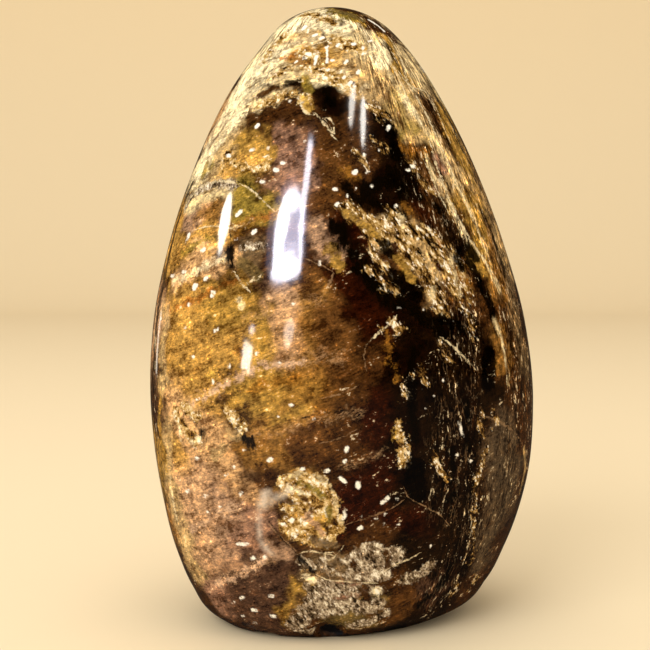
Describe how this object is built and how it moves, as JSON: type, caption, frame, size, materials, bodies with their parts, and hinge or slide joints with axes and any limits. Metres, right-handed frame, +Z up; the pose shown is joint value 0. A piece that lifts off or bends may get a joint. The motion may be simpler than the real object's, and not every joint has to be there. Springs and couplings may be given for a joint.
{
  "type": "calcite freeform",
  "caption": "Polished natural calcite stone ground to a soft pointed egg that stands upright on a flat-cut base.",
  "frame": {"origin": "middle of the stone's box at the level of the flat-cut base", "axes": "+Z up through the crown, front of the stone towards -Y, its wider way along X"},
  "size_m": [0.076, 0.0582, 0.12],
  "materials": {
    "polished_calcite": "hand-polished, glossy, honey brown to dark red-brown with cream granular patches and white flecks"
  },
  "bodies": {
    "root": {"stone": "polished_calcite"}
  },
  "joints": []
}
